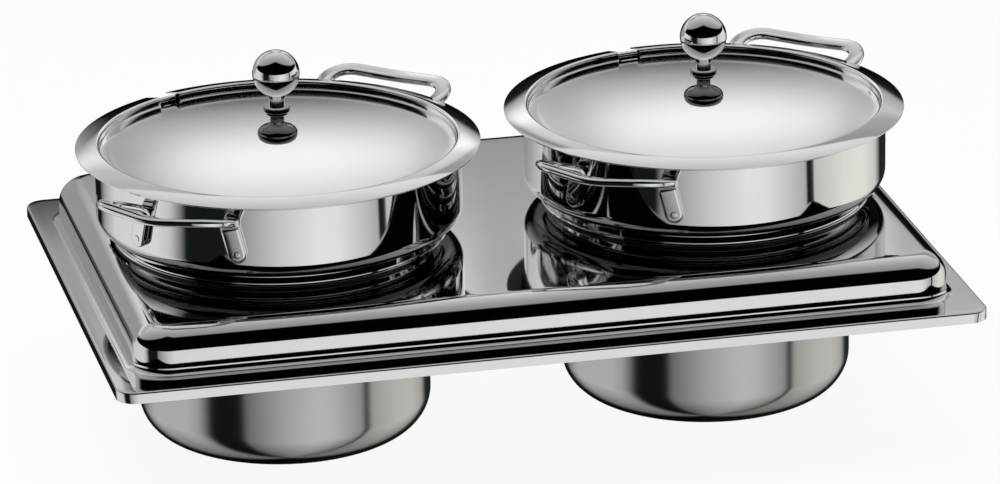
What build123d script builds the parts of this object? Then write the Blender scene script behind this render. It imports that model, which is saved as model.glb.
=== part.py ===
from build123d import *
import math
import os

# Twin soup station insert: a pressed cover plate that hangs by its rim in a chafing
# frame, with two stepped soup pots and their lift-off lids. Millimetres, +Z up. The
# origin is the centre of the plate in the plane on which its rim hangs.

# Cover plate: one sheet, pressed to a raised deck inside a flat rim. Its length and depth
# follow from the lids and the margins left round them.
plate_margin_side = 9.0
plate_margin_front = 58.4
plate_sheet = 1.2
plate_corner_radius = 13.0
skirt_depth = 7.4
rim_width_side = 12.0
rim_width_front = 20.0
deck_height = 29.0
deck_corner_radius = 29.0
deck_foot_radius = 5.0
deck_shoulder_radius = 17.0
skirt_edge_radius = 1.5

# Collars drawn up round the two openings, on which the pots stand
collar_height = 9.2
collar_well_clearance = 9.0
collar_foot_radius = 4.0
collar_lip_radius = 1.4
collar_hem_depth = 4.5

# Soup pots: one drawn vessel with a wide upper wall and a narrower well
pot_sheet = 1.0
pot_radius = 121.0
pot_seat_gap = 0.3
pot_upper_height = 53.6
pot_shoulder_radius = 11.0
pot_shoulder_width = 24.0
well_depth = 143.5
well_bottom_radius = 25.0
well_neck_radius = 4.0
pot_bead_radius = 1.8

# Cast loop handles, two on each pot
handle_axis_degrees = 49.0
handle_foot_degrees = 17.3
handle_knee_degrees = 14.8
handle_bar_width = 11.2
handle_bar_thickness = 4.8
handle_bar_edge_radius = 2.0
handle_seat_depth = 0.25
handle_below_rim = 13.0
handle_tongue_drop = 21.2
handle_bend_radius = 8.0
handle_corner_spread = 116.0
handle_corner_rise = 14.4
handle_corner_radius = 18.0
handle_reach = 42.5
handle_nose_length = 8.8
handle_nose_droop = 4.6
handle_nose_radius = 60.0

# Rivets that hold the handles
rivet_radius = 2.0
rivet_clearance = 0.05
rivet_head_radius = 2.9
rivet_head_height = 0.5
rivet_tail_radius = 3.8
rivet_tail_height = 1.0

# Lids: spun sheet with a sloping brim, a recess that drops into the pot and a low dome
lid_sheet = 0.9
lid_seat_gap = 0.3
lid_overhang = 12.1
lid_spacing = 22.6
lid_brim_drop = 3.8
lid_pot_clearance = 1.9
lid_brim_bend_radius = 1.5
lid_recess_depth = 7.0
lid_recess_bend_radius = 1.5
lid_gutter_width = 6.7
lid_gutter_rise = 1.0
lid_dome_rise = 3.7
notch_width = 16.0
notch_degrees = {"left": 117.0, "right": 101.0}

# Knobs: foot, collar and ball stem, drawn down on the lid by a screw from below
knob_foot_radius = 13.2
knob_foot_height = 11.6
knob_foot_base_radius = 10.6
knob_foot_belly_height = 5.0
knob_neck_radius = 4.6
knob_neck_height = 6.2
knob_collar_radius = 8.75
knob_collar_step_radius = 7.0
knob_collar_height = 3.2
knob_collar_step_height = 2.3
knob_stem_radius = 5.4
knob_ball_radius = 15.6
knob_ball_height = 46.0
knob_edge_radius = 0.5
screw_radius = 2.5
screw_clearance = 0.05
screw_head_radius = 4.5
screw_head_height = 2.6
screw_grip = 12.0
screw_slot_width = 1.2
screw_slot_depth = 1.2
washer_radius = 8.0
washer_thickness = 1.2

# Sizes and places worked out from the values above
well_radius = pot_radius - pot_shoulder_width
collar_radius = well_radius + collar_well_clearance
lid_radius = pot_radius + lid_overhang
pot_pitch = 2 * lid_radius + lid_spacing
plate_length = pot_pitch + 2 * (lid_radius + plate_margin_side)
plate_depth = 2 * (lid_radius + plate_margin_front)
deck_top = plate_sheet + deck_height
collar_top = deck_top + collar_height
pot_seat = collar_top + pot_seat_gap
pot_wall_top = pot_seat + pot_upper_height
bead_centre_radius = pot_radius - pot_sheet + pot_bead_radius
well_bottom = pot_seat - well_depth
lid_recess_radius = pot_radius - pot_sheet - lid_pot_clearance - lid_sheet / 2
brim_slope = math.atan2(lid_brim_drop, lid_radius - lid_recess_radius)
brim_line_lift = (pot_bead_radius + lid_seat_gap + lid_sheet / 2) / math.cos(brim_slope)
lid_brim_edge = (pot_wall_top + brim_line_lift
                 - (lid_radius - bead_centre_radius) * math.tan(brim_slope))
lid_brim_top = lid_brim_edge + lid_brim_drop
lid_gutter = lid_brim_top - lid_recess_depth
lid_crease_radius = lid_recess_radius - lid_gutter_width
lid_crease = lid_gutter + lid_gutter_rise
lid_apex = lid_crease + lid_dome_rise
tongue_radius = pot_radius + handle_bar_thickness / 2 - handle_seat_depth
knee_height = pot_wall_top - handle_below_rim
rivet_height = knee_height - handle_tongue_drop
foot_seat = lid_apex + lid_sheet / 2
neck_top = foot_seat + knob_foot_height + knob_neck_height
ball_centre = foot_seat + knob_ball_height

os.makedirs("parts", exist_ok=True)


def save(piece, label, frame=Plane.XY):
    """Write a piece, carried from the pot's own axes to the frame where it stands."""
    placed = frame.from_local_coords(piece.part)
    placed.label = label
    export_step(placed, f"parts/{label}.step")


def turned(degrees, origin=(0, 0, 0)):
    """An upright frame whose X axis points at an angle seen from above."""
    turn = math.radians(degrees)
    return Plane(origin=origin, x_dir=(math.cos(turn), math.sin(turn), 0), z_dir=(0, 0, 1))


def on_tongue(degrees, height):
    """A point on the centre line of a handle's tongue."""
    return turned(degrees).x_dir * tongue_radius + Vector(0, 0, height)


def rivet_frame(side):
    """A plane on the outer face of a tongue, its normal pointing away from the pot."""
    out = turned(side * (handle_foot_degrees + handle_knee_degrees) / 2).x_dir
    return Plane(origin=on_tongue(side * handle_foot_degrees, rivet_height) + out * handle_bar_thickness / 2,
                 z_dir=out)


pot_centres = {"left": -pot_pitch / 2, "right": pot_pitch / 2}

# The plate is pressed as one hollow shape: rim, turned-down skirt, foot fillet and deck
with BuildPart() as cover_plate:
    with BuildSketch(Plane.XY.offset(plate_sheet - skirt_depth)):
        RectangleRounded(plate_length, plate_depth, plate_corner_radius)
    extrude(amount=skirt_depth)
    with BuildSketch(Plane.XY.offset(plate_sheet)):
        foot = deck_foot_radius
        RectangleRounded(plate_length - 2 * (rim_width_side + foot),
                         plate_depth - 2 * (rim_width_front + foot),
                         deck_corner_radius - foot)
    extrude(amount=deck_height)
    fillet(cover_plate.faces().sort_by(Axis.Z)[-1].edges(), radius=deck_shoulder_radius)
    foot_edges = cover_plate.edges().filter_by_position(Axis.Z, plate_sheet - 0.01, plate_sheet + 0.01)
    inner_limit = plate_length / 2 - rim_width_side / 2
    fillet([edge for edge in foot_edges if edge.bounding_box().max.X < inner_limit
            and edge.bounding_box().min.X > -inner_limit
            and abs(edge.center().Y) < plate_depth / 2 - rim_width_front / 2],
           radius=deck_foot_radius)
    rim_edges = cover_plate.edges().filter_by_position(Axis.Z, plate_sheet - 0.01, plate_sheet + 0.01)
    fillet([edge for edge in rim_edges if abs(edge.center().X) > inner_limit
            or abs(edge.center().Y) > plate_depth / 2 - rim_width_front / 2],
           radius=skirt_edge_radius)
    offset(amount=-plate_sheet, openings=cover_plate.faces().sort_by(Axis.Z)[0])
    with Locations(*[(x, 0, deck_top) for x in pot_centres.values()]):
        Hole(collar_radius + collar_foot_radius)
    for centre_x in pot_centres.values():
        with BuildSketch(Plane(origin=(centre_x, 0, 0), x_dir=(1, 0, 0), z_dir=(0, -1, 0))):
            with BuildLine():
                FilletPolyline(
                    (collar_radius + 1.5 * collar_foot_radius, deck_top - plate_sheet / 2),
                    (collar_radius, deck_top - plate_sheet / 2),
                    (collar_radius, collar_top - plate_sheet / 2),
                    (collar_radius - 2 * collar_lip_radius, collar_top - plate_sheet / 2),
                    (collar_radius - 2 * collar_lip_radius, collar_top - collar_hem_depth),
                    radius=[collar_foot_radius, collar_lip_radius - 0.01, collar_lip_radius - 0.01])
            trace(line_width=plate_sheet)
        revolve(axis=Axis((centre_x, 0, 0), (0, 0, 1)))
save(cover_plate, "cover_plate")

# Pot: one drawn vessel, with a beaded rim, and bored for eight rivets
with BuildPart() as pot:
    half_sheet = pot_sheet / 2
    with BuildSketch(Plane.XZ):
        with BuildLine():
            FilletPolyline(
                (0, well_bottom + half_sheet),
                (well_radius - half_sheet, well_bottom + half_sheet),
                (well_radius - half_sheet, pot_seat + half_sheet),
                (pot_radius - half_sheet, pot_seat + half_sheet),
                (pot_radius - half_sheet, pot_wall_top),
                radius=[well_bottom_radius, well_neck_radius, pot_shoulder_radius])
        trace(line_width=pot_sheet)
        with Locations((bead_centre_radius, pot_wall_top)):
            Circle(pot_bead_radius)
    revolve(axis=Axis.Z)
    for handle_degrees in (handle_axis_degrees, handle_axis_degrees - 180):
        for side in (-1, 1):
            bore = Plane(turned(handle_degrees).location * rivet_frame(side).location)
            with BuildSketch(bore):
                Circle(rivet_radius + rivet_clearance)
            extrude(amount=-4 * handle_bar_thickness, mode=Mode.SUBTRACT)

# Handle: a cast loop about the X axis of its own frame. Two tongues splay down the wall from
# the knees, the legs rise outwards, and the grip bar swells and droops in the middle. One
# half is mirrored to make the other.
foot = on_tongue(-handle_foot_degrees, rivet_height)
knee = on_tongue(-handle_knee_degrees, knee_height)
corner = Vector(pot_radius + handle_reach - handle_nose_length, -handle_corner_spread / 2,
                knee_height + handle_corner_rise)
nose = Vector(pot_radius + handle_reach, 0, corner.Z - handle_nose_droop)
half_loop = [foot, knee, corner]
tongue_out = rivet_frame(-1).z_dir
tongue_up = (knee - foot).normalized()
tongue_end = Plane(origin=foot, x_dir=tongue_up.cross(tongue_out), z_dir=tongue_up)
with BuildPart() as handle:
    with BuildLine():
        FilletPolyline(*half_loop, nose, *[Vector(p.X, -p.Y, p.Z) for p in reversed(half_loop)],
                       radius=[handle_bend_radius, handle_corner_radius, handle_nose_radius,
                               handle_corner_radius, handle_bend_radius])
    with BuildSketch(tongue_end):
        RectangleRounded(handle_bar_width, handle_bar_thickness, handle_bar_edge_radius)
    sweep()
    split(bisect_by=Plane.XZ)
    with BuildSketch(tongue_end):
        RectangleRounded(handle_bar_width, handle_bar_thickness, handle_bar_edge_radius)
        Rectangle(handle_bar_width, handle_bar_thickness, align=(Align.MIN, Align.CENTER), mode=Mode.INTERSECT)
    revolve(axis=Axis(foot, tongue_out), revolution_arc=180)
    with BuildSketch():
        Circle(pot_radius)
    extrude(amount=pot_wall_top, mode=Mode.SUBTRACT)
    with BuildSketch(rivet_frame(-1)):
        Circle(rivet_radius + rivet_clearance)
    extrude(amount=-2 * handle_bar_thickness, mode=Mode.SUBTRACT)
    mirror(about=Plane.XZ)

# Rivets of one handle: low head on the tongue, shank, and a tail seated inside the pot
with BuildPart() as rivets:
    inner_radius = pot_radius - pot_sheet
    tail_depth = handle_bar_thickness - handle_seat_depth + pot_sheet + rivet_tail_height
    for side in (-1, 1):
        with BuildSketch(rivet_frame(side)):
            Circle(rivet_head_radius)
        extrude(amount=rivet_head_height, taper=35)
        with BuildSketch(rivet_frame(side).offset(-tail_depth)):
            Circle(rivet_tail_radius)
        extrude(amount=rivet_tail_height + pot_sheet / 2)
    with BuildSketch(Plane.XY.offset(rivet_height - 2 * rivet_tail_radius)):
        Circle(pot_radius)
        Circle(inner_radius, mode=Mode.SUBTRACT)
    extrude(amount=4 * rivet_tail_radius, mode=Mode.SUBTRACT)
    for side in (-1, 1):
        with BuildSketch(rivet_frame(side)):
            Circle(rivet_radius)
        extrude(amount=-tail_depth + rivet_tail_height / 2)

# Lid: sloping brim, recess wall that drops into the pot, gutter, crease and low dome,
# with a slot for the ladle handle cut through the brim and the recess wall
with BuildPart() as lid:
    dome_radius = (lid_crease_radius ** 2 + lid_dome_rise ** 2) / (2 * lid_dome_rise)
    with BuildSketch(Plane.XZ):
        with BuildLine():
            brim = FilletPolyline(
                (lid_radius, lid_brim_edge),
                (lid_recess_radius, lid_brim_top),
                (lid_recess_radius, lid_gutter),
                (lid_crease_radius, lid_crease),
                radius=[lid_brim_bend_radius, lid_recess_bend_radius])
            RadiusArc(brim @ 1, (0, lid_apex), -dome_radius)
        trace(line_width=lid_sheet)
        with Locations((screw_radius + screw_clearance, lid_apex)):
            Rectangle(2 * lid_radius, 4 * lid_recess_depth, align=(Align.MIN, Align.CENTER), mode=Mode.INTERSECT)
    revolve(axis=Axis.Z)
    with BuildSketch(Plane.XY.offset(lid_gutter + lid_recess_bend_radius / 2)):
        with Locations((lid_recess_radius - lid_recess_bend_radius, 0)):
            Rectangle(lid_radius, notch_width, align=(Align.MIN, Align.CENTER))
    extrude(amount=2 * lid_recess_depth, mode=Mode.SUBTRACT)

# Knob foot: turned, with a rounded belly, a flat base on the dome and a neck
screw_hole_radius = screw_radius + screw_clearance
with BuildPart() as knob_foot:
    with BuildSketch(Plane.XZ):
        with BuildLine():
            base = Line((screw_hole_radius, foot_seat), (knob_foot_base_radius, foot_seat))
            belly = TangentArc(base @ 1, (knob_foot_radius, foot_seat + knob_foot_belly_height), tangent=(1, 0.35))
            crown = Spline(belly @ 1,
                           (knob_neck_radius, foot_seat + knob_foot_height),
                           tangents=((0, 1), (0, 1)))
            neck = Line(crown @ 1, (knob_neck_radius, neck_top))
            top = Line(neck @ 1, (screw_hole_radius, neck_top))
            Line(top @ 1, base @ 0)
        make_face()
    revolve(axis=Axis.Z)

# Knob collar: a stepped ring between the neck of the foot and the stem of the ball
collar_step_top = neck_top + knob_collar_step_height
stem_base = collar_step_top + knob_collar_height
with BuildPart() as knob_collar:
    with BuildSketch(Plane.XY.offset(neck_top)):
        Circle(knob_collar_step_radius)
    extrude(amount=knob_collar_step_height)
    with BuildSketch(Plane.XY.offset(collar_step_top)):
        Circle(knob_collar_radius)
    extrude(amount=knob_collar_height)
    fillet(knob_collar.edges().filter_by(GeomType.CIRCLE).sort_by(Axis.Z)[-1], radius=knob_edge_radius)
    with BuildSketch(Plane.XY.offset(neck_top)):
        Circle(screw_hole_radius)
    extrude(amount=stem_base - neck_top, mode=Mode.SUBTRACT)

# Knob ball: ball and stem turned in one piece, with a blind hole for the screw
with BuildPart() as knob_ball:
    with Locations((0, 0, ball_centre)):
        Sphere(knob_ball_radius)
    with BuildSketch(Plane.XY.offset(stem_base)):
        Circle(knob_stem_radius)
    extrude(amount=ball_centre - stem_base)
    with BuildSketch(Plane.XY.offset(stem_base)):
        Circle(screw_hole_radius)
    extrude(amount=screw_grip + screw_radius, mode=Mode.SUBTRACT)

# Knob washer: spreads the pull of the screw, dished to the underside of the dome
washer_top = foot_seat - lid_sheet
with BuildPart() as knob_washer:
    with BuildSketch(Plane.XY.offset(washer_top - washer_thickness)):
        Circle(washer_radius)
        Circle(screw_hole_radius, mode=Mode.SUBTRACT)
    extrude(amount=washer_thickness)
    with Locations((0, 0, lid_apex - dome_radius)):
        Sphere(dome_radius - lid_sheet / 2, mode=Mode.INTERSECT)

# Knob screw: cheese head below the washer, shank up through lid, foot, collar and stem
with BuildPart() as knob_screw:
    head_top = washer_top - washer_thickness
    with BuildSketch(Plane.XY.offset(head_top - screw_head_height)):
        Circle(screw_head_radius)
    extrude(amount=screw_head_height)
    fillet(knob_screw.edges().filter_by(GeomType.CIRCLE).sort_by(Axis.Z)[0], radius=knob_edge_radius)
    with BuildSketch(Plane.XY.offset(head_top)):
        Circle(screw_radius)
    extrude(amount=stem_base + screw_grip - head_top)
    with BuildSketch(Plane.XY.offset(head_top - screw_head_height)):
        Rectangle(3 * screw_head_radius, screw_slot_width)
    extrude(amount=screw_slot_depth, mode=Mode.SUBTRACT)

for side, centre_x in pot_centres.items():
    axis_point = (centre_x, 0, 0)
    save(pot, f"pot_{side}", turned(0, axis_point))
    for end, handle_degrees in (("rear", handle_axis_degrees), ("front", handle_axis_degrees - 180)):
        save(handle, f"handle_{side}_{end}", turned(handle_degrees, axis_point))
        save(rivets, f"rivets_{side}_{end}", turned(handle_degrees, axis_point))
    save(lid, f"lid_{side}", turned(notch_degrees[side], axis_point))
    for label, piece in (("foot", knob_foot), ("collar", knob_collar), ("ball", knob_ball),
                         ("washer", knob_washer), ("screw", knob_screw)):
        save(piece, f"knob_{label}_{side}", turned(0, axis_point))
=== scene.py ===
import math

import bmesh
import bpy
from mathutils import Matrix, Vector


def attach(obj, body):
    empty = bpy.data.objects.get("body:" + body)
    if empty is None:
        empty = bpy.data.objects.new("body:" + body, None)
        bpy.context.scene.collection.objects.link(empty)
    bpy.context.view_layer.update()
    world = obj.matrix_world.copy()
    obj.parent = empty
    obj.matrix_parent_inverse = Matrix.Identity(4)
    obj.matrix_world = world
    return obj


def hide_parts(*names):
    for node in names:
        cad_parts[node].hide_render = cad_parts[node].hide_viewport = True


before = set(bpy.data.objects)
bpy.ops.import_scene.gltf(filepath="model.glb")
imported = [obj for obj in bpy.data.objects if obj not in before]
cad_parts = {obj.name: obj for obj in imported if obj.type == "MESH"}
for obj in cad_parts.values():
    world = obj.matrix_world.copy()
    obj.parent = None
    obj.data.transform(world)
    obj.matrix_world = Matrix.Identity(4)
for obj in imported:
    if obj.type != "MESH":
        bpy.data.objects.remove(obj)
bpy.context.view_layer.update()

# Cover plate: one sheet of stainless steel, pressed to a raised deck inside a flat rim with
# a turned-down skirt, with a collar drawn up round each opening. Polished after pressing.
MM = 0.001


def filleted(points, radii, step=6.0):
    """The corners of a line of points, rounded to the given radii."""
    points = [Vector(p) for p in points]
    line = [points[0]]
    for before, corner, after, radius in zip(points, points[1:], points[2:], radii):
        back, on = (before - corner).normalized(), (after - corner).normalized()
        half = back.angle(on) / 2
        turn = math.pi - 2 * half
        centre = corner + (back + on).normalized() * (radius / math.sin(half))
        start = corner + back * (radius / math.tan(half)) - centre
        end = corner + on * (radius / math.tan(half)) - centre
        count = max(3, math.ceil(math.degrees(turn) / step))
        for k in range(count + 1):
            share = k / count
            line.append(centre + (start * math.sin((1 - share) * turn) + end * math.sin(share * turn))
                        / math.sin(turn))
    line.append(points[-1])
    return line


def bands(rows, around, first=0):
    """Faces between each closed row of points and the next one."""
    faces = []
    for i in range(rows - 1):
        here, above = first + i * around, first + (i + 1) * around
        for k in range(around):
            n = (k + 1) % around
            faces.append([here + k, here + n, above + n, above + k])
    return faces


def turned(profile, centre=(0, 0), around=224):
    """Vertices and faces of a profile of (radius, height) turned about an upright axis."""
    vertices = []
    for radius, height in profile:
        for k in range(around):
            a = 2 * math.pi * k / around
            vertices.append((centre[0] + radius * math.cos(a), centre[1] + radius * math.sin(a), height))
    return vertices, bands(len(profile), around)


def mesh_piece(name, vertices, faces, body, material, stands_for, sheet=0.0, side=0.0, crease=35):
    """A smooth mesh in millimetres that rides on a body and stands for a solid of the frame."""
    mesh = bpy.data.meshes.new(name)
    mesh.from_pydata([Vector(v) * MM for v in vertices], [], faces)
    mesh.validate()
    work = bmesh.new()
    work.from_mesh(mesh)
    bmesh.ops.remove_doubles(work, verts=work.verts, dist=0.002 * MM)
    bmesh.ops.recalc_face_normals(work, faces=work.faces)
    work.to_mesh(mesh)
    work.free()
    piece = bpy.data.objects.new(name, mesh)
    bpy.context.scene.collection.objects.link(piece)
    if sheet:
        thick = piece.modifiers.new("sheet", "SOLIDIFY")
        thick.thickness, thick.offset, thick.use_even_offset = sheet * MM, side, side == 0
        thick.use_quality_normals = True
        soft = piece.modifiers.new("dressed edges", "BEVEL")
        soft.width, soft.segments, soft.limit_method = 0.25 * MM, 2, "ANGLE"
        soft.angle_limit = math.radians(50)
    mesh.shade_smooth()
    mesh.set_sharp_from_angle(angle=math.radians(crease))
    mesh.materials.append(material)
    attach(piece, body)
    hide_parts(stands_for)
    return piece


def between(nodes, start, end, low=0.0, high=1.0):
    """A node that goes from low to high while its value goes from start to end."""
    node = nodes.new("ShaderNodeMapRange")
    node.inputs["From Min"].default_value = start
    node.inputs["From Max"].default_value = end
    node.inputs["To Min"].default_value = low
    node.inputs["To Max"].default_value = high
    return node


def colour_ramp(nodes, stops):
    """A colour ramp with the given stops of (position, colour)."""
    node = nodes.new("ShaderNodeValToRGB")
    elements = node.color_ramp.elements
    for k, (position, colour) in enumerate(stops):
        stop = elements[k] if k < 2 else elements.new(position)
        stop.position = position
        stop.color = (*colour, 1)
    return node


def noise(nodes, scale, detail):
    """A noise texture of the given scale and detail."""
    node = nodes.new("ShaderNodeTexNoise")
    node.inputs["Scale"].default_value = scale
    node.inputs["Detail"].default_value = detail
    return node


def bump(nodes, depth):
    """A bump as deep as the given number of millimetres."""
    node = nodes.new("ShaderNodeBump")
    node.inputs["Strength"].default_value = 1.0
    node.inputs["Distance"].default_value = depth * MM
    return node


def polished_steel(name, colour, roughness, smears, waves, scratches):
    """Stainless steel with smears in its gloss, faint waves from pressing and fine scratches."""
    material = bpy.data.materials.new(name)
    material.use_nodes = True
    nodes, links = material.node_tree.nodes, material.node_tree.links
    surface = nodes["Principled BSDF"]
    surface.inputs["Metallic"].default_value = 1.0
    place = nodes.new("ShaderNodeTexCoord")
    smear = noise(nodes, scale=26.0, detail=3.0)
    gloss = between(nodes, 0.2, 0.8, roughness, roughness + smears)
    smeared_colour = [c * 0.965 for c in colour]
    tone = colour_ramp(nodes, [(0.3, smeared_colour), (0.7, colour)])
    wave = noise(nodes, scale=9.0, detail=1.0)
    stretch = nodes.new("ShaderNodeMapping")
    stretch.inputs["Scale"].default_value = (240.0, 1500.0, 900.0)
    stretch.inputs["Rotation"].default_value = (0.2, 0.1, 0.6)
    scratch = noise(nodes, scale=1.0, detail=3.0)
    wavy, scratched = bump(nodes, waves), bump(nodes, scratches)
    for texture in (smear, wave, stretch):
        links.new(place.outputs["Object"], texture.inputs["Vector"])
    links.new(stretch.outputs["Vector"], scratch.inputs["Vector"])
    links.new(smear.outputs["Fac"], gloss.inputs["Value"])
    links.new(gloss.outputs["Result"], surface.inputs["Roughness"])
    links.new(smear.outputs["Fac"], tone.inputs["Fac"])
    links.new(tone.outputs["Color"], surface.inputs["Base Color"])
    links.new(wave.outputs["Fac"], wavy.inputs["Height"])
    links.new(scratch.outputs["Fac"], scratched.inputs["Height"])
    links.new(wavy.outputs["Normal"], scratched.inputs["Normal"])
    links.new(scratched.outputs["Normal"], surface.inputs["Normal"])
    return material


plate_sheet, rim_top, deck_top = 1.2, 1.2, 30.2
half_long, half_short, skirt_bottom = 286.5, 191.5, -6.2
rim_corner, skirt_fillet, rim_at_ends, rim_at_sides = 13, 1.5, 12, 20
deck_rise, deck_corner, wall_in, flat_in = deck_top - rim_top, 29, 5.6, 24.5
foot_fillet, deck_fillet = 5, 17
skirt = filleted([(0, skirt_bottom), (0, rim_top), (6, rim_top)], [skirt_fillet])
deck_wall = filleted([(0, 0), (wall_in, 0), (wall_in, deck_rise), (30, deck_rise)],
                     [foot_fillet, deck_fillet], step=5)
rings = [(inset, inset, rim_corner - inset, height) for inset, height in skirt]
for along, rise in [(0.0, 0.0)] + [tuple(p) for p in deck_wall[1:-1]] + [(flat_in, deck_rise)]:
    inset = along - (wall_in - foot_fillet)
    rings.append((rim_at_ends + inset, rim_at_sides + inset, deck_corner - inset, rim_top + rise))
corners = [(1, 1), (-1, 1), (-1, -1), (1, -1)]
corner_steps, side_steps = 24, 16
vertices = []
for inset_x, inset_y, radius, height in rings:
    corner_x, corner_y = half_long - inset_x - radius, half_short - inset_y - radius
    for quarter, (sign_x, sign_y) in enumerate(corners):
        for k in range(corner_steps + 1):
            a = math.radians(90 * quarter + 90 * k / corner_steps)
            vertices.append((sign_x * corner_x + radius * math.cos(a),
                             sign_y * corner_y + radius * math.sin(a), height))
        start_x, start_y, height = vertices[-1]
        next_x, next_y = corners[(quarter + 1) % 4]
        for k in range(1, side_steps):
            share = k / side_steps
            vertices.append((start_x + (next_x - sign_x) * corner_x * share,
                             start_y + (next_y - sign_y) * corner_y * share, height))
ring_size = len(vertices) // len(rings)
work = bmesh.new()
made = [work.verts.new(v) for v in vertices]
for face in bands(len(rings), ring_size):
    work.faces.new([made[k] for k in face])
deck_ring = made[-ring_size:]
loops = [work.edges.get((deck_ring[k], deck_ring[(k + 1) % ring_size])) for k in range(ring_size)]
pot_offset, opening_radius, collar_radius, collar_top = 144.4, 112.5, 106.6, 39.4
lip_radius, lip_bottom, lip_fillet, collar_foot_fillet, collar_points = 102.6, 34.9, 1.99, 3.4, 192
collar = filleted([(opening_radius, deck_top), (collar_radius, deck_top), (collar_radius, collar_top),
                   (lip_radius, collar_top), (lip_radius, lip_bottom)],
                  [collar_foot_fillet, lip_fillet, lip_fillet], step=9)
for centre_x in (-pot_offset, pot_offset):
    vertices, faces = turned(collar, (centre_x, 0), collar_points)
    made = [work.verts.new(v) for v in vertices]
    opening = made[:collar_points]
    loops += [work.edges.new((opening[k - 1], opening[k])) for k in range(collar_points)]
    for face in faces:
        work.faces.new([made[k] for k in face])
bmesh.ops.triangle_fill(work, use_beauty=True, use_dissolve=False, edges=loops, normal=(0, 0, 1))
work.verts.index_update()
vertices = [tuple(v.co) for v in work.verts]
faces = [[v.index for v in f.verts] for f in work.faces]
work.free()
plate_steel = polished_steel("polished plate steel", (0.74, 0.745, 0.745),
                             roughness=0.025, smears=0.04, waves=0.012, scratches=0.0002)
mesh_piece("cover_plate_pressing", vertices, faces, "plate", plate_steel, "cover_plate",
           sheet=plate_sheet, side=-1.0)

# Soup pots: drawn stainless steel, mirror polished, with a wide upper wall, a shoulder that
# rests on the collar, a narrower well below the plate and a rim rolled outwards. The well
# is left satin and darker in colour. What faces down has painted shade: its colour is darkened,
# which keeps stray light off the deck.


def calculation(nodes, operation, second=None, third=None):
    """A math node, with its second and third value where they are plain numbers."""
    node = nodes.new("ShaderNodeMath")
    node.operation = operation
    for place, value in ((1, second), (2, third)):
        if value is not None:
            node.inputs[place].default_value = value
    return node


def roughened(nodes, links, extra):
    """Adds the roughness of a zone to the gloss of a polished steel."""
    roughness = nodes["Principled BSDF"].inputs["Roughness"]
    duller = calculation(nodes, "ADD")
    links.new(roughness.links[0].from_socket, duller.inputs[0])
    links.new(extra, duller.inputs[1])
    links.new(duller.outputs[0], roughness)


resting_gap = 0.3
pot_radius, pot_sheet, pot_rim = 121.0, 1.0, 93.3
well_radius, well_bottom, well_fillet, seat_fillet, shoulder_fillet = 96.5, -103.3, 25, 4, 11
satin_top, polish_bottom = 30, 42
# The last share is painted shade: the colour left to what faces down.
well_tone, well_roughness, painted_shade_share = 0.62, 0.10, 0.10
facing_down, facing_aside = -0.70, -0.10
pot_steel = polished_steel("polished pot steel", (0.80, 0.80, 0.795),
                           roughness=0.02, smears=0.04, waves=0.010, scratches=0.0002)
nodes, links = pot_steel.node_tree.nodes, pot_steel.node_tree.links
colour_socket = nodes["Principled BSDF"].inputs["Base Color"]
place = nodes.new("ShaderNodeSeparateXYZ")
well = between(nodes, satin_top * MM, polish_bottom * MM, well_tone, 1.0)
satin = between(nodes, well_tone, 1.0, well_roughness, 0.0)
facing = nodes.new("ShaderNodeNewGeometry")
upwards = nodes.new("ShaderNodeSeparateXYZ")
# Painted shade: the colour darkens where the surface faces down, under the shoulder and the well.
painted_underside_shade = between(nodes, facing_down, facing_aside, painted_shade_share, 1.0)
dimmed = calculation(nodes, "MULTIPLY")
shaded = nodes.new("ShaderNodeVectorMath")
shaded.operation = "MULTIPLY"
links.new(nodes["Texture Coordinate"].outputs["Object"], place.inputs["Vector"])
links.new(place.outputs["Z"], well.inputs["Value"])
links.new(well.outputs["Result"], satin.inputs["Value"])
roughened(nodes, links, satin.outputs["Result"])
links.new(facing.outputs["Normal"], upwards.inputs["Vector"])
links.new(upwards.outputs["Z"], painted_underside_shade.inputs["Value"])
links.new(painted_underside_shade.outputs["Result"], dimmed.inputs[0])
links.new(well.outputs["Result"], dimmed.inputs[1])
links.new(colour_socket.links[0].from_socket, shaded.inputs[0])
links.new(dimmed.outputs[0], shaded.inputs[1])
links.new(shaded.outputs["Vector"], colour_socket)
wall = pot_radius - pot_sheet / 2
shoulder = collar_top + resting_gap + pot_sheet / 2
pot_line = filleted([(0, well_bottom), (well_radius, well_bottom), (well_radius, shoulder),
                     (wall, shoulder), (wall, pot_rim)],
                    [well_fillet, seat_fillet, shoulder_fillet], step=4)
curl_radius, curl_turn, curl_steps = 1.3, 265, 22
curl_centre = wall + curl_radius
for k in range(1, curl_steps + 1):
    a = math.radians(180 - curl_turn * k / curl_steps)
    pot_line.append(Vector((curl_centre + curl_radius * math.cos(a), pot_rim + curl_radius * math.sin(a))))
for side, centre_x in (("left", -pot_offset), ("right", pot_offset)):
    vertices, faces = turned(pot_line, (centre_x, 0))
    mesh_piece(f"soup_pot_{side}", vertices, faces, f"pot_{side}_body", pot_steel,
               f"pot_{side}", sheet=pot_sheet)

# Lids: spun stainless sheet, polished, with a softer gloss on the dome than on the brim.
# Sloping brim, recess wall, gutter, crease and low dome. A slot for the handle of a ladle
# is cut through the brim and the recess wall.
lid_radius, recess_radius, lid_sheet, lid_fillet = 133.1, 117.65, 0.9, 1.5
brim_drop, recess_depth, gutter_width, crease_rise, dome_rise = 3.8, 7.0, 6.7, 1.0, 3.7
soft_radius, bright_radius, dome_softness = 107, 112, 0.05
lid_steel = polished_steel("polished lid steel", (0.84, 0.84, 0.84),
                           roughness=0.06, smears=0.03, waves=0.006, scratches=0.0002)
nodes, links = lid_steel.node_tree.nodes, lid_steel.node_tree.links
place = nodes.new("ShaderNodeSeparateXYZ")
mirrored = calculation(nodes, "ABSOLUTE")
from_axis = calculation(nodes, "SUBTRACT", pot_offset * MM)
flat = nodes.new("ShaderNodeCombineXYZ")
off_axis = nodes.new("ShaderNodeVectorMath")
off_axis.operation = "LENGTH"
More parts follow.
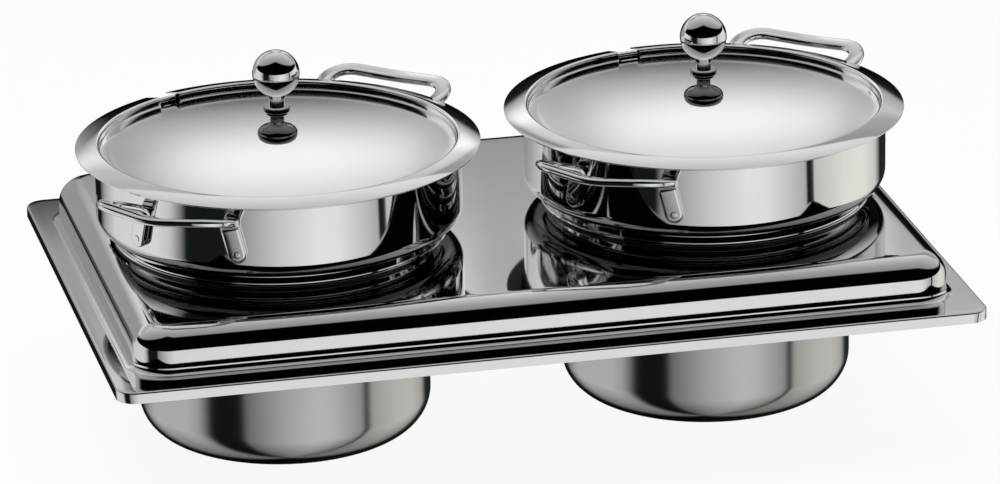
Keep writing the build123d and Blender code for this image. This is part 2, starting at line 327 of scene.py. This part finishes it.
satin = between(nodes, soft_radius * MM, bright_radius * MM, dome_softness, 0.0)
links.new(nodes["Texture Coordinate"].outputs["Object"], place.inputs["Vector"])
links.new(place.outputs["X"], mirrored.inputs[0])
links.new(mirrored.outputs[0], from_axis.inputs[0])
links.new(from_axis.outputs[0], flat.inputs["X"])
links.new(place.outputs["Y"], flat.inputs["Y"])
links.new(flat.outputs["Vector"], off_axis.inputs[0])
links.new(off_axis.outputs["Value"], satin.inputs["Value"])
roughened(nodes, links, satin.outputs["Result"])
slope = math.atan2(brim_drop, lid_radius - recess_radius)
lift = (curl_radius + pot_sheet / 2 + resting_gap + lid_sheet / 2) / math.cos(slope)
brim_edge = pot_rim + lift - (lid_radius - curl_centre) * math.tan(slope)
brim_top = brim_edge + brim_drop
gutter = brim_top - recess_depth
wall_bottom, crease_height = gutter + 0.9, gutter + crease_rise
crease_radius, crease_half = recess_radius - gutter_width, 0.35
lid_line = [tuple(p) for p in filleted([(lid_radius, brim_edge), (recess_radius, brim_top),
                                        (recess_radius, wall_bottom), (crease_radius, crease_height)],
                                       [lid_fillet, lid_fillet], step=8)][:-1]
lid_line.append((crease_radius + crease_half, gutter + 0.95))
apex, dome_steps = crease_height + dome_rise, 30
dome_radius = (crease_radius ** 2 + dome_rise ** 2) / (2 * dome_rise)
for k in range(dome_steps + 1):
    radius = (crease_radius - crease_half) * (1 - k / dome_steps)
    lid_line.append((radius, apex - dome_radius + math.sqrt(dome_radius ** 2 - radius ** 2)))
slot_half, slot_reach, outside_steps, slot_steps = 8, recess_radius - 2.1, 216, 12
columns = outside_steps + slot_steps
cut = [radius > slot_reach and height > wall_bottom for radius, height in lid_line]
for side, centre_x, slot_at in (("left", -pot_offset, 117), ("right", pot_offset, 101)):
    vertices, faces = [], []
    for radius, height in lid_line:
        half = math.asin(slot_half / max(radius, recess_radius))
        for k in range(columns):
            if k <= outside_steps:
                a = half + (2 * math.pi - 2 * half) * k / outside_steps
            else:
                a = -half + 2 * half * (k - outside_steps) / slot_steps
            a += math.radians(slot_at)
            vertices.append((centre_x + radius * math.cos(a), radius * math.sin(a), height))
    for face in bands(len(lid_line), columns):
        row, column = divmod(face[0], columns)
        if not (column >= outside_steps and cut[row] and cut[row + 1]):
            faces.append(face)
    mesh_piece(f"lid_sheet_{side}", vertices, faces, f"lid_{side}_body", lid_steel,
               f"lid_{side}", sheet=lid_sheet)

# Knobs: turned stainless steel, mirror polished. A rounded foot with a neck and a stepped
# collar, and a ball on its stem, drawn together by a screw and washer below the lid. The foot
# and the collar are coloured dark as a painted reflection of the dark knob parts above them.
# The domes show no knob in their polish, so glossy rays leave the knobs out.
knob_steel = polished_steel("polished knob steel", (0.78, 0.78, 0.775),
                            roughness=0.02, smears=0.02, waves=0.002, scratches=0.0002)
# Painted reflection: this dark colour stands in for the knob's dark parts mirrored in its foot and collar.
painted_reflection_steel = polished_steel("polished knob foot steel", (0.15, 0.155, 0.155),
                            roughness=0.02, smears=0.02, waves=0.002, scratches=0.0002)
plain_steel = polished_steel("plain fastener steel", (0.62, 0.62, 0.61),
                             roughness=0.22, smears=0.12, waves=0.01, scratches=0.004)
dome_top = apex + lid_sheet / 2
foot_top, collar_end, stem_radius = 17.8, 23.3, 5.4
ball_radius, ball_height, ball_steps = 15.6, 46.0, 40
foot_line = [(0, 0), (10.2, 0), (10.8, 0.15), (12.2, 1.3), (13.0, 2.8), (13.3, 4.6), (13.0, 6.4),
             (12.1, 8.0), (10.2, 9.4), (7.9, 10.3), (5.9, 11.0), (4.9, 12.0), (4.6, 13.4),
             (4.6, foot_top), (0, foot_top)]
collar_line = [(0, foot_top), (6.6, foot_top), (7.0, 18.2), (7.0, 20.1), (8.4, 20.1), (8.75, 20.5),
               (8.75, 22.9), (8.35, collar_end), (0, collar_end)]
ball_line = [(0, collar_end), (stem_radius, collar_end), (stem_radius, 31.2)]
stem_angle = math.asin(stem_radius / ball_radius)
for k in range(ball_steps + 1):
    a = stem_angle + (math.pi - stem_angle) * k / ball_steps
    ball_line.append((ball_radius * math.sin(a), ball_height - ball_radius * math.cos(a)))
washer_line = [(0, -0.9), (8, -0.93), (8, -2.1), (0, -2.1)]
screw_line = [(0, -2.1), (4.5, -2.1), (4.5, -4.2), (4.1, -4.7), (0, -4.7)]
for side, centre_x in (("left", -pot_offset), ("right", pot_offset)):
    for part, line, material, slot in (
            ("foot", foot_line, painted_reflection_steel, "knob_steel"),
            ("collar", collar_line, painted_reflection_steel, "knob_steel"),
            ("ball", ball_line, knob_steel, "knob_steel"),
            ("washer", washer_line, plain_steel, "fastener_steel"),
            ("screw", screw_line, plain_steel, "fastener_steel")):
        vertices, faces = turned([(r, z + dome_top) for r, z in line], (centre_x, 0), around=96)
        piece = mesh_piece(f"lid_knob_{part}_{side}", vertices, faces, f"lid_{side}_body", material,
                           f"knob_{part}_{side}", crease=32)
        piece.visible_glossy = False

# Handles: cast stainless steel loops, polished. Two tongues splay down the pot's wall, the
# legs rise outwards, and the grip bar swells and droops in the middle. A rivet with a low
# head on the tongue and a flat tail inside the pot holds each tongue.
handle_steel = polished_steel("polished handle steel", (0.80, 0.80, 0.79),
                              roughness=0.05, smears=0.05, waves=0.02, scratches=0.0006)
bar_thickness, bar_edge, tongue_half_width, waist = 4.8, 2, 6.2, 1.0
waist_start, waist_length = 17, 20
knee_height = pot_rim - 13.0
rivet_height = knee_height - 21.2
rivet_angle, knee_angle, tongue_angle = 17.3, 14.8, 16.05
grip_end, grip_half, grip_rise = 154.7, 58, 14.4
nose_reach, nose_droop = 163.5, 4.6
knee_fillet, corner_fillet, nose_fillet = 8, 18, 60
bar_centre, half_ring = pot_radius + 2.15, 15


def half_section(half_width):
    """The right half of the bar's section, from the middle of its outer face to its inner one."""
    half = [(0, bar_thickness / 2)]
    for k in range(half_ring - 2):
        a = math.radians(90 - 180 * k / (half_ring - 3))
        straight = math.copysign(bar_thickness / 2 - bar_edge, math.sin(a)) if abs(math.sin(a)) > 1e-6 else 0
        half.append((half_width - bar_edge + bar_edge * math.cos(a), straight + bar_edge * math.sin(a)))
    return half + [(0, -bar_thickness / 2)]


foot, knee = [Matrix.Rotation(math.radians(-degrees), 3, "Z") @ Vector((bar_centre, 0, height))
              for degrees, height in ((rivet_angle, rivet_height), (knee_angle, knee_height))]
corner = Vector((grip_end, -grip_half, knee_height + grip_rise))
nose = Vector((nose_reach, 0, corner.z - nose_droop))
half_loop = [foot, knee, corner]
outline = filleted(half_loop + [nose] + [Vector((p.x, -p.y, p.z)) for p in reversed(half_loop)],
                   [knee_fillet, corner_fillet, nose_fillet, corner_fillet, knee_fillet], step=3)
lengths = [0.0]
for before, after in zip(outline, outline[1:]):
    lengths.append(lengths[-1] + (after - before).length)
tongue_out = Matrix.Rotation(math.radians(-tongue_angle), 3, "Z") @ Vector((1, 0, 0))
stations, end_turns = 72, 18
loop_vertices, loop_faces = [], []
outward, heading = tongue_out, (knee - foot).normalized()
for station in range(stations + 1):
    reached = lengths[-1] / 2 * station / stations
    i = max(k for k in range(len(lengths) - 1) if lengths[k] <= reached + 1e-9)
    share = (reached - lengths[i]) / (lengths[i + 1] - lengths[i])
    point = outline[i].lerp(outline[i + 1], share)
    ahead = (outline[i + 1] - outline[i]).normalized()
    outward = heading.rotation_difference(ahead) @ outward
    heading = ahead
    across = heading.cross(outward)
    narrowing = min(1, max(0, (reached - waist_start) / waist_length))
    half_width = tongue_half_width - waist * narrowing * narrowing * (3 - 2 * narrowing)
    right_half = half_section(half_width)
    if station == 0:
        for k in range(end_turns + 1):
            a = math.pi * k / end_turns
            for u, v in right_half:
                loop_vertices.append(foot + (across * math.cos(a) - heading * math.sin(a)) * u + outward * v)
        for k in range(end_turns):
            for m in range(half_ring - 1):
                first = k * half_ring + m
                loop_faces.append([first, first + 1, first + half_ring + 1, first + half_ring])
        ring_start = len(loop_vertices)
    ring = right_half + [(-u, v) for u, v in reversed(right_half[1:-1])]
    for u, v in ring:
        vertex = point + across * u + outward * v
        if station == stations:
            vertex.y = 0
        loop_vertices.append(vertex)
loop_faces += bands(stations + 1, len(ring), ring_start)
least_reach = pot_radius + 0.02
for vertex in loop_vertices:
    reach = math.hypot(vertex.x, vertex.y)
    if reach < least_reach:
        vertex.x, vertex.y = [c * least_reach / reach for c in vertex.xy]
count = len(loop_vertices)
loop_vertices += [Vector((v.x, -v.y, v.z)) for v in loop_vertices]
loop_faces += [[count + k for k in reversed(face)] for face in loop_faces]
rivet_head = [(0, -0.5), (2.3, -0.3), (2.3, 0.1), (2.1, 0.25), (1.6, 0.34), (0, 0.4)]
rivet_tail = [(0, -6.5), (3.4, -6.5), (3.7, -6.2), (3.8, -5.75), (3.8, -5.45), (0, -5.45)]
rivet_vertices, rivet_faces = [], []
for sign in (-1, 1):
    out = Vector((tongue_out.x, -sign * tongue_out.y, 0))
    along = Vector((-out.y, out.x, 0))
    tongue = Vector((foot.x, -sign * foot.y, foot.z)) + out * bar_thickness / 2
    for line in (rivet_head, rivet_tail):
        first = len(rivet_vertices)
        vertices, faces = turned(line, around=32)
        rivet_vertices += [tongue + out * z + along * x + Vector((0, 0, y)) for x, y, z in vertices]
        rivet_faces += [[first + k for k in face] for face in faces]
for side, centre_x in (("left", -pot_offset), ("right", pot_offset)):
    for end, degrees in (("rear", 49), ("front", 229)):
        place = Matrix.Translation((centre_x, 0, 0)) @ Matrix.Rotation(math.radians(degrees), 4, "Z")
        mesh_piece(f"loop_handle_{side}_{end}", [place @ v for v in loop_vertices], loop_faces,
                   f"pot_{side}_body", handle_steel, f"handle_{side}_{end}", crease=60)
        mesh_piece(f"handle_rivets_{side}_{end}", [place @ v for v in rivet_vertices], rivet_faces,
                   f"pot_{side}_body", handle_steel, f"rivets_{side}_{end}")

# Floor: a plain pale sweep below the wells, which keeps the soft shadow of the object. For
# the camera it glows almost to white, and the steel doesn't mirror it.
floor_height, paper_grey, camera_glow = -0.108, 0.93, 0.93
bpy.ops.mesh.primitive_plane_add(size=60, location=(0, 0, floor_height))
floor = bpy.context.object
floor.name = "floor"
floor.visible_glossy = False
pale = bpy.data.materials.new("pale floor")
pale.use_nodes = True
nodes, links = pale.node_tree.nodes, pale.node_tree.links
nodes.remove(nodes["Principled BSDF"])
paper = nodes.new("ShaderNodeBsdfDiffuse")
paper.inputs["Color"].default_value = (paper_grey, paper_grey, paper_grey, 1)
glow = nodes.new("ShaderNodeEmission")
glow.inputs["Strength"].default_value = 1.0
blend = nodes.new("ShaderNodeMixShader")
path = nodes.new("ShaderNodeLightPath")
share = calculation(nodes, "MULTIPLY", camera_glow)
links.new(path.outputs["Is Camera Ray"], share.inputs[0])
links.new(share.outputs[0], blend.inputs["Fac"])
links.new(paper.outputs["BSDF"], blend.inputs[1])
links.new(glow.outputs["Emission"], blend.inputs[2])
links.new(blend.outputs["Shader"], nodes["Material Output"].inputs["Surface"])
floor.data.materials.append(pale)

# Reflector: a pale wall behind the object, which only glossy rays see. It is brightest at its
# middle height and graded from left to right, so that the deck is light at its far side and
# each dome has a light middle.


def mirrored_light(level, tint=(1, 1, 1)):
    """The light that polished steel mirrors as the given level of 0 to 255."""
    display_curve, steel_mirrors = 2.2, 0.8
    light = (level / 255) ** display_curve / steel_mirrors
    return [light * t for t in tint]


def colour_mix(nodes):
    """A colour mix node with its two colour inputs and its colour output."""
    node = nodes.new("ShaderNodeMix")
    node.data_type = "RGBA"
    first, second = [s for s in node.inputs if s.type == "RGBA"]
    return node, first, second, [s for s in node.outputs if s.type == "RGBA"][0]


reflector_centre, reflector_width, reflector_height = (0.22, 1.0, 0.5), 3.2, 1.2
bpy.ops.mesh.primitive_plane_add(size=1, location=reflector_centre, rotation=(math.radians(90), 0, 0))
reflector = bpy.context.object
reflector.name = "rear_reflector"
reflector.scale = (reflector_width, reflector_height, 1)
sheen = bpy.data.materials.new("rear reflector")
sheen.use_nodes = True
nodes, links = sheen.node_tree.nodes, sheen.node_tree.links
nodes.remove(nodes["Principled BSDF"])
where = nodes.new("ShaderNodeNewGeometry")
split = nodes.new("ShaderNodeSeparateXYZ")
levels = [(0.0, 10), (0.27, 30), (0.30, 110), (0.33, 156), (0.38, 184), (0.44, 226),
          (0.50, 247), (0.55, 241), (0.60, 224), (0.66, 205), (0.80, 200), (0.95, 188)]
cool = (0.975, 1, 1.02)
grade = colour_ramp(nodes, [(height, mirrored_light(level, cool)) for height, level in levels])
left_end = between(nodes, -0.18, -0.34, 0.0, 0.40)
lighter, grade_in, end_in, lighter_out = colour_mix(nodes)
lighter.blend_type = "LIGHTEN"
lighter.inputs["Factor"].default_value = 1.0
glow = nodes.new("ShaderNodeEmission")
spots_start, spots_end, spot_reach = -0.2, 0.8, 0.185
left_spot, right_spot = 0.042, 0.404
across = between(nodes, spots_start, spots_end)
spot = [(-0.98, 0.36), (-0.80, 0.55), (-0.62, 0.78), (-0.45, 0.93), (-0.15, 1.0), (0.25, 1.0),
        (0.43, 0.96), (0.73, 0.86), (0.85, 0.72), (0.95, 0.55)]
stops = [(spots_start, 0.8)] + [(left_spot + spot_reach * u, v) for u, v in spot] + [(0.235, 0.52)]
stops += [(right_spot + spot_reach * u, v) for u, v in spot[1:]] + [(0.60, 0.55)]
spots = colour_ramp(nodes, [(x - spots_start, (level, level, level)) for x, level in stops])
higher = between(nodes, 0.33, 0.44)
strength = nodes.new("ShaderNodeMix")
strength.inputs["A"].default_value = 0.95
links.new(where.outputs["Position"], split.inputs["Vector"])
links.new(split.outputs["Z"], grade.inputs["Fac"])
links.new(split.outputs["X"], left_end.inputs["Value"])
links.new(grade.outputs["Color"], grade_in)
links.new(left_end.outputs["Result"], end_in)
links.new(lighter_out, glow.inputs["Color"])
links.new(split.outputs["X"], across.inputs["Value"])
links.new(across.outputs["Result"], spots.inputs["Fac"])
links.new(split.outputs["Z"], higher.inputs["Value"])
links.new(higher.outputs["Result"], strength.inputs["Factor"])
links.new(spots.outputs["Color"], strength.inputs["B"])
links.new(strength.outputs["Result"], glow.inputs["Strength"])
links.new(glow.outputs["Emission"], nodes["Material Output"].inputs["Surface"])
reflector.data.materials.append(sheen)
reflector.visible_camera = False
reflector.visible_shadow = False
reflector.visible_diffuse = False

# Studio: pale surfaces below the horizon with dark flags between them, a black hood in front
# above it, a pale roof, a soft box overhead, and a white backdrop that only the camera sees.
world = bpy.data.worlds.new("studio")
bpy.context.scene.world = world
world.use_nodes = True
nodes, links = world.node_tree.nodes, world.node_tree.links
sky = nodes["Background"]
sky.inputs["Strength"].default_value = 1.0
place = nodes.new("ShaderNodeTexCoord")
split = nodes.new("ShaderNodeSeparateXYZ")
front, hood_front, hood_side, hood_rear = 12.4, 74, 30, 8
horizon, above_horizon, roof_toward = 7.0, 8.0, (0.205, 0.917, 0.342)
levels = [(-180, 30), (-150, 25), (-141, 150), (-125, 205), (-84, 212), (-72, 190), (-65, 130),
          (-60, 30), (-33, 30), (-29, 128), (0, 193), (25, 223), (38, 221), (58, 185), (66, 165),
          (67.5, 35), (71.5, 35), (73, 187), (100, 218), (120, 220), (138, 190), (148, 40)]
dark, warm, plain = (0.8, 1.0, 1.02), (1.02, 1.0, 0.94), (1.0, 1.0, 1.0)
stops = []
for degrees, level in levels:
    tint = dark if level < 60 else warm if degrees > 70 else plain
    stops.append(((degrees + 180) / 360, mirrored_light(level, tint)))
turnabout = calculation(nodes, "MULTIPLY", -1.0)
bearing = calculation(nodes, "ARCTAN2")
shift = calculation(nodes, "ADD", math.radians(front + 180))
share = calculation(nodes, "DIVIDE", 2 * math.pi)
wrap = calculation(nodes, "FRACT")
below = colour_ramp(nodes, stops)
elevation = calculation(nodes, "ARCSINE")
forward = calculation(nodes, "COSINE")
square = calculation(nodes, "MULTIPLY")
wide = calculation(nodes, "MULTIPLY_ADD", math.radians((hood_rear - hood_front) / 2),
                   math.radians(hood_side))
hood = calculation(nodes, "MULTIPLY_ADD", math.radians((hood_rear + hood_front) / 2 - hood_side))
below_hood = calculation(nodes, "SUBTRACT")
shade = between(nodes, -0.05, 0.05)
toward = nodes.new("ShaderNodeVectorMath")
toward.operation = "DOT_PRODUCT"
toward.inputs[1].default_value = roof_toward
roof = colour_ramp(nodes, [(share_of_back, mirrored_light(level)) for share_of_back, level in
                           ((0.0, 140), (0.34, 158), (0.74, 190), (1.0, 225))])
hooded, roof_in, hood_in, hooded_out = colour_mix(nodes)
hood_in.default_value = (0.0004, 0.0006, 0.0006, 1)
up = between(nodes, math.sin(math.radians(horizon)), math.sin(math.radians(above_horizon)))
mix, below_in, above_in, mix_out = colour_mix(nodes)
path = nodes.new("ShaderNodeLightPath")
seen, studio_in, backdrop_in, seen_out = colour_mix(nodes)
backdrop_in.default_value = (1, 1, 1, 1)
links.new(place.outputs["Generated"], split.inputs["Vector"])
links.new(place.outputs["Generated"], toward.inputs[0])
links.new(split.outputs["Y"], turnabout.inputs[0])
links.new(split.outputs["X"], bearing.inputs[0])
links.new(turnabout.outputs[0], bearing.inputs[1])
links.new(bearing.outputs[0], shift.inputs[0])
links.new(shift.outputs[0], share.inputs[0])
links.new(share.outputs[0], wrap.inputs[0])
links.new(wrap.outputs[0], below.inputs["Fac"])
links.new(shift.outputs[0], forward.inputs[0])
links.new(forward.outputs[0], square.inputs[0])
links.new(forward.outputs[0], square.inputs[1])
links.new(forward.outputs[0], wide.inputs[0])
links.new(square.outputs[0], hood.inputs[0])
links.new(wide.outputs[0], hood.inputs[2])
links.new(split.outputs["Z"], elevation.inputs[0])
links.new(hood.outputs[0], below_hood.inputs[0])
links.new(elevation.outputs[0], below_hood.inputs[1])
links.new(below_hood.outputs[0], shade.inputs["Value"])
links.new(toward.outputs["Value"], roof.inputs["Fac"])
links.new(shade.outputs["Result"], hooded.inputs["Factor"])
links.new(roof.outputs["Color"], roof_in)
links.new(split.outputs["Z"], up.inputs["Value"])
links.new(up.outputs["Result"], mix.inputs["Factor"])
links.new(below.outputs["Color"], below_in)
links.new(hooded_out, above_in)
links.new(path.outputs["Is Camera Ray"], seen.inputs["Factor"])
links.new(mix_out, studio_in)
links.new(seen_out, sky.inputs["Color"])
lamp = bpy.data.lights.new("overhead_softbox", "AREA")
lamp.shape, lamp.size, lamp.energy = "SQUARE", 1.6, 24
softbox = bpy.data.objects.new("overhead_softbox", lamp)
softbox.location = (-0.3, -0.3, 1.9)
softbox.visible_glossy = False
bpy.context.scene.collection.objects.link(softbox)

# Camera: a long lens, from the left of the front and well above the plate, and turned a
# little about its own axis, as the photograph was taken.
azimuth, elevation, roll = math.radians(-12.618), math.radians(19.684), -0.0168
aim, distance = Vector((1.58, -10.35, 13.41)) * MM, 4.2513
back = Vector((math.sin(azimuth) * math.cos(elevation), -math.cos(azimuth) * math.cos(elevation),
               math.sin(elevation)))
right = (-back).cross(Vector((0, 0, 1))).normalized()
upward = right.cross(-back)
rolled_right = right * math.cos(roll) + upward * math.sin(roll)
rolled_up = upward * math.cos(roll) - right * math.sin(roll)
data = bpy.data.cameras.new("camera")
data.sensor_width, data.lens = 36.0, 230.49
data.clip_start, data.clip_end = 0.1, 100
camera = bpy.data.objects.new("camera", data)
axes = Matrix((rolled_right, rolled_up, back)).transposed().to_4x4()
camera.matrix_world = Matrix.Translation(aim + back * distance) @ axes
bpy.context.scene.collection.objects.link(camera)
bpy.context.scene.camera = camera
bpy.context.scene.view_settings.view_transform = "Standard"
